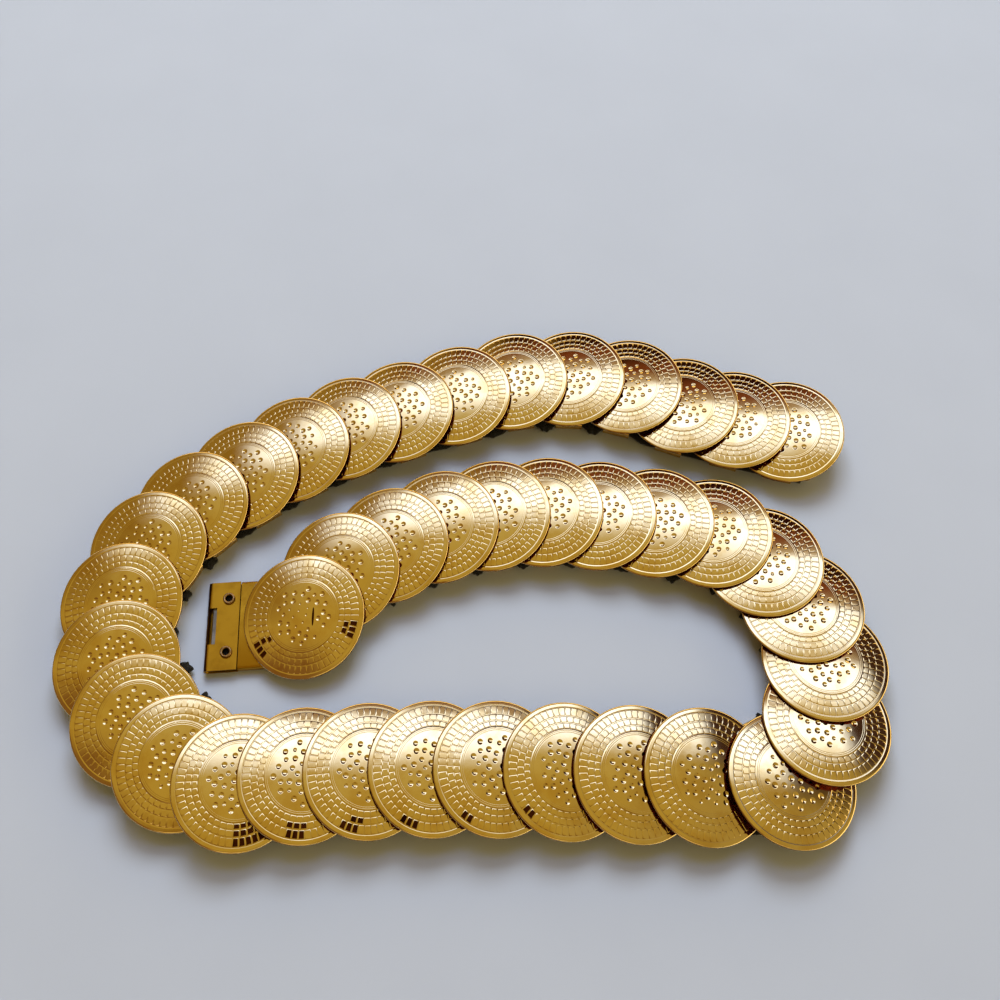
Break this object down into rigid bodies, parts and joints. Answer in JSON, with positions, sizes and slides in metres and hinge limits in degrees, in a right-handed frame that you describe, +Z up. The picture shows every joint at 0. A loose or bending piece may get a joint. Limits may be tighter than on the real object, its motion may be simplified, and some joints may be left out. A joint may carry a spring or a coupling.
{
  "type": "coin belt",
  "caption": "Stretch belt of overlapping gold coin-like discs on a wide black elastic, with a clasp plate and hook, lying in a spiral.",
  "frame": {"origin": "under the middle of the belt's outline, on the surface that it lies on", "axes": "+Z up, +X along the long straight run of discs, +Y towards the outer run of the spiral"},
  "size_m": [0.254, 0.1706, 0.0102],
  "materials": {
    "gold": "polished",
    "clasp_gold": "satin",
    "bar_steel": "satin",
    "rivet_brass": "satin",
    "elastic": "matte"
  },
  "bodies": {
    "root": {"disc_01": "gold", "disc_02": "gold", "disc_03": "gold", "disc_04": "gold", "disc_05": "gold", "disc_06": "gold", "disc_07": "gold", "disc_08": "gold", "disc_09": "gold", "disc_10": "gold", "disc_11": "gold", "disc_12": "gold", "disc_13": "gold", "disc_14": "gold", "disc_15": "gold", "disc_16": "gold", "disc_17": "gold", "disc_18": "gold", "disc_19": "gold", "disc_20": "gold", "disc_21": "gold", "disc_22": "gold", "disc_23": "gold", "disc_24": "gold", "disc_25": "gold", "disc_26": "gold", "disc_27": "gold", "disc_28": "gold", "disc_29": "gold", "disc_30": "gold", "disc_31": "gold", "disc_32": "gold", "disc_33": "gold", "disc_34": "gold", "disc_35": "gold", "disc_36": "gold", "disc_37": "gold", "disc_38": "gold", "disc_39": "gold", "elastic_band": "elastic", "clasp_plate": "clasp_gold", "clasp_spring_bar": "bar_steel", "clasp_rivet_1": "rivet_brass", "clasp_rivet_2": "rivet_brass", "hook_plate": "clasp_gold"}
  },
  "joints": []
}
